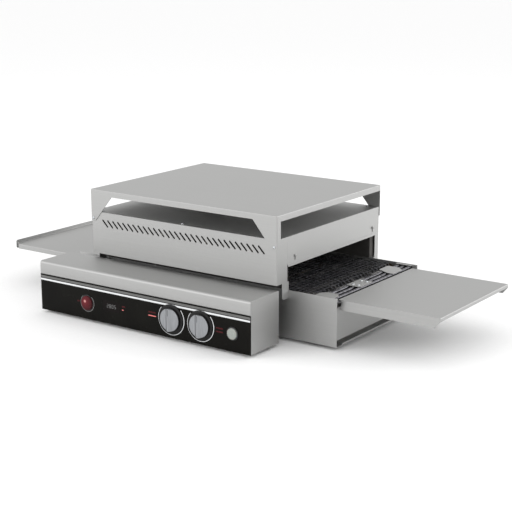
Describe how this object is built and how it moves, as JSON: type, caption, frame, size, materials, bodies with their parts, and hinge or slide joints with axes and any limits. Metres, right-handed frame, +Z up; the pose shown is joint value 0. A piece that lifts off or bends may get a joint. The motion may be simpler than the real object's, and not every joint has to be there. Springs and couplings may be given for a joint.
{
  "type": "conveyor pizza oven",
  "caption": "Countertop conveyor pizza oven: hooded wire-mesh belt, trays at both ends, front console with dials, raised top shelf.",
  "frame": {"origin": "on the ground, under the middle of the whole oven: midway between the tray ends and midway between the dial fronts and the shelf back", "axes": "+X along the conveyor to the right seen from the console, +Y to the back, +Z up"},
  "size_m": [1.375, 0.623, 0.328],
  "materials": {
    "stainless": "satin stainless sheet",
    "inner_steel": "heat-dulled stainless",
    "bright_steel": "bright rolled stainless",
    "belt_steel": "dark heat-blued wire",
    "machined_steel": "turned steel",
    "zinc_steel": "zinc plated",
    "chain_steel": "oiled steel",
    "tube_alloy": "oxidised alloy tube",
    "bronze": "sintered bronze",
    "foot_rubber": "matte",
    "ceramic": "unglazed steatite ceramic",
    "mineral_wool": "mineral wool blanket",
    "panel_black": "glossy black front film",
    "chrome": "bright",
    "display_plastic": "smoked window",
    "knob_black": "moulded black",
    "grip_silver": "silver painted plastic",
    "control_plastic": "moulded black",
    "button_ring": "grey plastic ring",
    "red_plastic": "red translucent plastic",
    "pale_plastic": "pale grey-green plastic",
    "cast_alloy": "cast alloy",
    "terminal_plastic": "cream plastic",
    "gland_plastic": "nylon"
  },
  "bodies": {
    "oven": {"base_pan": "stainless", "feet": "foot_rubber", "left_end_panel": "stainless", "right_end_panel": "stainless", "conveyor_belt": "belt_steel", "belt_support_bars": "inner_steel", "belt_cross_bars": "inner_steel", "shaft_bushes": "bronze", "nose_brackets": "stainless", "nose_rods": "belt_steel", "nose_clips": "zinc_steel", "lower_heating_tubes": "tube_alloy", "upper_heating_tubes": "tube_alloy", "tube_glands": "ceramic", "wire_duct": "inner_steel", "chamber_liner": "inner_steel", "reflector": "bright_steel", "insulation": "mineral_wool", "front_cover": "stainless", "rear_cover": "stainless", "hood_top": "stainless", "left_side_panel": "stainless", "right_side_panel": "stainless", "top_shelf": "stainless", "console_shell": "stainless", "console_back": "stainless", "control_panel": "panel_black", "chrome_strip": "chrome", "display_unit": "display_plastic", "dial_rings": "chrome", "thermostat": "control_plastic", "speed_control": "control_plastic", "button_bodies": "button_ring", "drive_chain": "chain_steel", "gear_motor": "cast_alloy", "fan_frame": "control_plastic", "terminal_block": "terminal_plastic", "contactor": "control_plastic", "cable_gland": "gland_plastic", "screws": "zinc_steel"},
    "drive": {"drive_shaft": "machined_steel", "drive_sprockets": "inner_steel", "shaft_chain_sprocket": "machined_steel"},
    "idler": {"idler_shaft": "machined_steel", "idler_sprockets": "inner_steel"},
    "motor_output": {"motor_sprocket": "machined_steel"},
    "fan": {"fan_rotor": "control_plastic"},
    "temperature_dial": {"temp_knob": "knob_black", "temp_grip": "grip_silver", "temp_spindle": "machined_steel"},
    "speed_dial": {"speed_knob": "knob_black", "speed_grip": "grip_silver", "speed_spindle": "machined_steel"},
    "power_push": {"power_button": "red_plastic"},
    "start_push": {"start_button": "pale_plastic"},
    "crumb_drawer": {"crumb_tray": "stainless"},
    "right_tray_body": {"right_tray": "stainless"},
    "left_tray_body": {"left_tray": "stainless"},
    "right_gate": {"right_baffle": "stainless"},
    "left_gate": {"left_baffle": "stainless"}
  },
  "joints": [
    {"name": "belt_drive_spin", "type": "hinge", "parent": "oven", "child": "drive", "pos_m": [-0.334, 0.0735, 0.10775], "axis": [0, 1, 0], "continuous": true},
    {"name": "idler_spin", "type": "hinge", "parent": "oven", "child": "idler", "pos_m": [0.334, 0.0735, 0.10775], "axis": [0, 1, 0], "continuous": true},
    {"name": "motor_spin", "type": "hinge", "parent": "oven", "child": "motor_output", "pos_m": [-0.25, -0.1995, 0.06], "axis": [0, 1, 0], "continuous": true},
    {"name": "fan_spin", "type": "hinge", "parent": "oven", "child": "fan", "pos_m": [-0.075, -0.236, 0.02], "axis": [0, 0, 1], "continuous": true},
    {"name": "temperature_dial_turn", "type": "hinge", "parent": "oven", "child": "temperature_dial", "pos_m": [0.0405, -0.302, 0.057], "axis": [0, 1, 0], "range_deg": [0, 300]},
    {"name": "speed_dial_turn", "type": "hinge", "parent": "oven", "child": "speed_dial", "pos_m": [0.1325, -0.302, 0.057], "axis": [0, 1, 0], "range_deg": [0, 270]},
    {"name": "power_button_press", "type": "slide", "parent": "oven", "child": "power_push", "axis": [0, 1, 0], "range_m": [0, 0.003], "stiffness_N_per_m": 400, "springref_m": -0.002},
    {"name": "start_button_press", "type": "slide", "parent": "oven", "child": "start_push", "axis": [0, 1, 0], "range_m": [0, 0.003], "stiffness_N_per_m": 400, "springref_m": -0.002},
    {"name": "crumb_tray_slide", "type": "slide", "parent": "oven", "child": "crumb_drawer", "axis": [1, 0, 0], "range_m": [0, 0.6]},
    {"name": "right_tray_tip", "type": "hinge", "parent": "oven", "child": "right_tray_body", "pos_m": [0.4132, 0.0735, 0.1212], "axis": [0, -1, 0], "range_deg": [0, 75]},
    {"name": "left_tray_tip", "type": "hinge", "parent": "oven", "child": "left_tray_body", "pos_m": [-0.4132, 0.0735, 0.1212], "axis": [0, 1, 0], "range_deg": [0, 75]},
    {"name": "right_baffle_drop", "type": "slide", "parent": "oven", "child": "right_gate", "axis": [0, 0, -1], "range_m": [0, 0.009]},
    {"name": "left_baffle_drop", "type": "slide", "parent": "oven", "child": "left_gate", "axis": [0, 0, -1], "range_m": [0, 0.009]}
  ],
  "couplings": [
    {"joint": "idler_spin", "follows": "belt_drive_spin", "ratio": 1},
    {"joint": "motor_spin", "follows": "belt_drive_spin", "ratio": 1.5}
  ]
}
